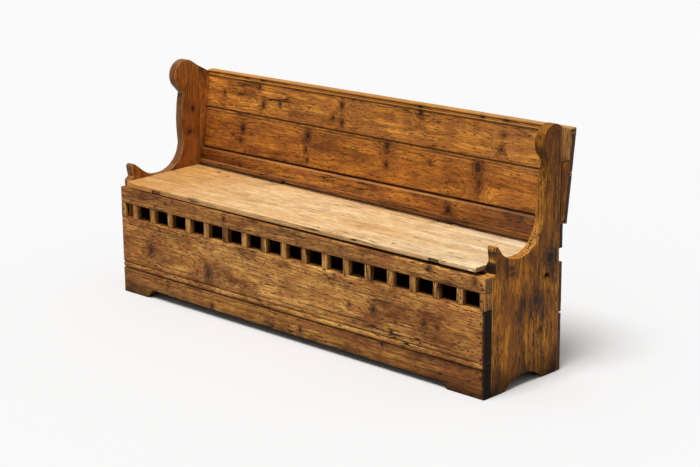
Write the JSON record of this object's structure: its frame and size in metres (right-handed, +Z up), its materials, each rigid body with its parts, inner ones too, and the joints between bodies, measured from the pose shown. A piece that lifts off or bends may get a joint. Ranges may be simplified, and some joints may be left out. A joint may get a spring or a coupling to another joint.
{
  "type": "settle bench",
  "caption": "Old boarded pine settle with a raking board back, shaped scroll ends, a moulded cap and a box seat that lifts on hinges above a row of short balusters.",
  "frame": {"origin": "on the floor, under the middle of the whole bench", "axes": "+X along the bench, to the right as seen from the front, +Y towards the back, +Z up"},
  "size_m": [1.85, 0.476, 0.8935],
  "materials": {
    "old_pine": "waxed, worn and dark in the joints",
    "seat_pine": "scrubbed pale, satin from wear",
    "old_iron": "dark oxide, rusty in places"
  },
  "bodies": {
    "case": {"back_board_1": "old_pine", "back_board_2": "old_pine", "back_board_3": "old_pine", "back_board_4": "old_pine", "back_board_5": "old_pine", "back_cap_moulding": "old_pine", "back_foot_moulding": "old_pine", "back_nails": "old_iron", "baluster_01": "old_pine", "baluster_02": "old_pine", "baluster_03": "old_pine", "baluster_04": "old_pine", "baluster_05": "old_pine", "baluster_06": "old_pine", "baluster_07": "old_pine", "baluster_08": "old_pine", "baluster_09": "old_pine", "baluster_10": "old_pine", "baluster_11": "old_pine", "baluster_12": "old_pine", "baluster_13": "old_pine", "baluster_14": "old_pine", "baluster_15": "old_pine", "baluster_16": "old_pine", "baluster_17": "old_pine", "end_board_left": "old_pine", "end_board_right": "old_pine", "end_strip_left": "old_pine", "end_strip_right_lower": "old_pine", "end_strip_right_upper": "old_pine", "floor_board_1": "old_pine", "floor_board_2": "old_pine", "floor_board_3": "old_pine", "floor_cleat_left": "old_pine", "floor_cleat_right": "old_pine", "floor_cross_bearer": "old_pine", "front_board": "old_pine", "front_end_post_left": "old_pine", "front_end_post_right": "old_pine", "front_nails": "old_iron", "front_top_rail": "old_pine", "hinge_pin_left": "old_iron", "hinge_pin_right": "old_iron", "hinge_rail_leaf_left": "old_iron", "hinge_rail_leaf_right": "old_iron", "hinge_screws_rail": "old_iron", "plinth_board": "old_pine", "rear_seat_rail": "old_pine", "seat_bearer_left": "old_pine", "seat_bearer_right": "old_pine"},
    "seat_lid": {"hinge_screws_seat": "old_iron", "hinge_seat_leaf_left": "old_iron", "hinge_seat_leaf_right": "old_iron", "seat_batten_left": "old_pine", "seat_batten_right": "old_pine", "seat_board": "seat_pine"}
  },
  "joints": [
    {"name": "seat_hinge", "type": "hinge", "parent": "case", "child": "seat_lid", "pos_m": [0, 0.1345, 0.45499], "axis": [-1, 0, 0.0096], "range_deg": [0, 100]}
  ]
}
